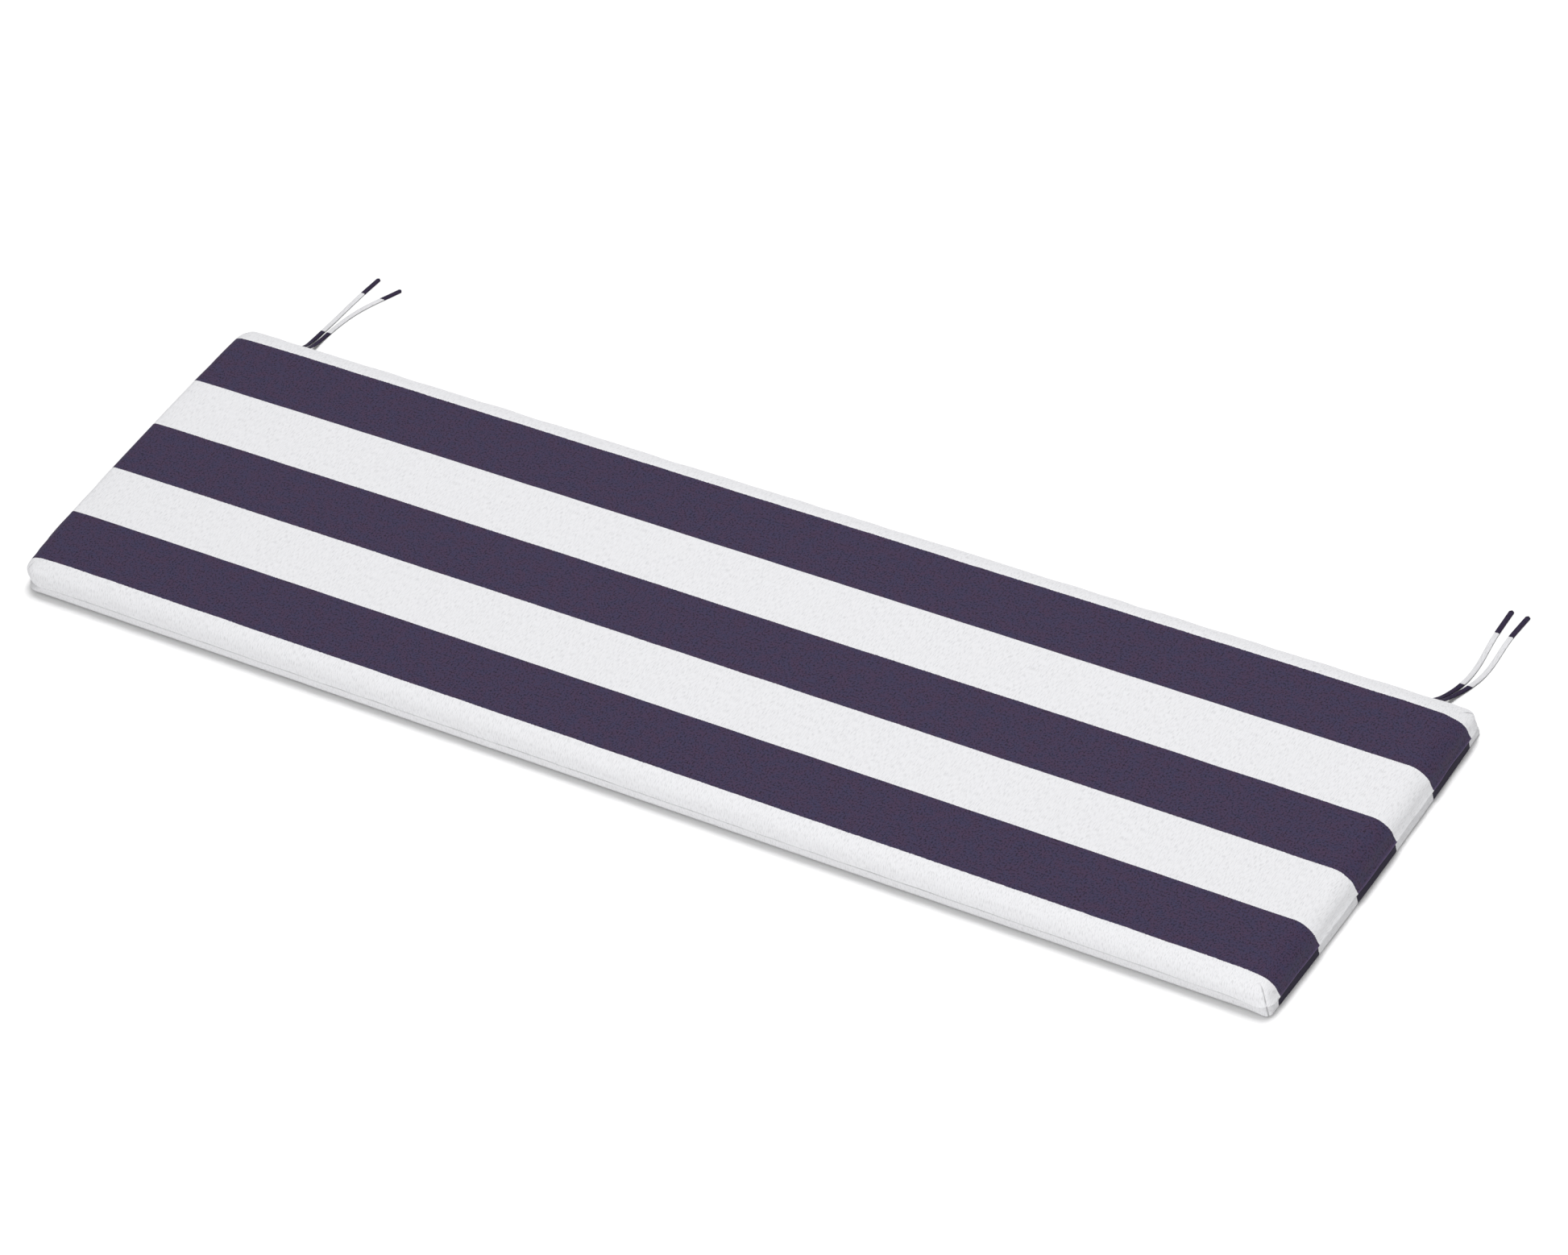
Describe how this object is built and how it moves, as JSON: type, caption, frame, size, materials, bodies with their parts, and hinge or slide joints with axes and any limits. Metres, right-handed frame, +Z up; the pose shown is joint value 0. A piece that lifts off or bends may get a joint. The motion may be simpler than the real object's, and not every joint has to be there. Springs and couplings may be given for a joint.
{
  "type": "bench cushion",
  "caption": "Long flat bench cushion in a block-striped fabric cover, filled and crowned, with a plain seam low round its sides and tie tapes at the back near each end.",
  "frame": {"origin": "on the resting surface, under the middle of the cushion (the ties not counted)", "axes": "+X along the cushion's length, +Y across it to the side with the ties, +Z up out of its upper panel"},
  "size_m": [1.5034, 0.5498, 0.04],
  "materials": {
    "cover": "matt woven cloth in even white and dark aubergine blue stripes along the cushion",
    "tie": "matt narrow tape of the cover's striped cloth, dark at both ends and white between"
  },
  "bodies": {
    "root": {"cushion": "cover", "tie_left_a": "tie", "tie_left_b": "tie", "tie_right_a": "tie", "tie_right_b": "tie"}
  },
  "joints": []
}
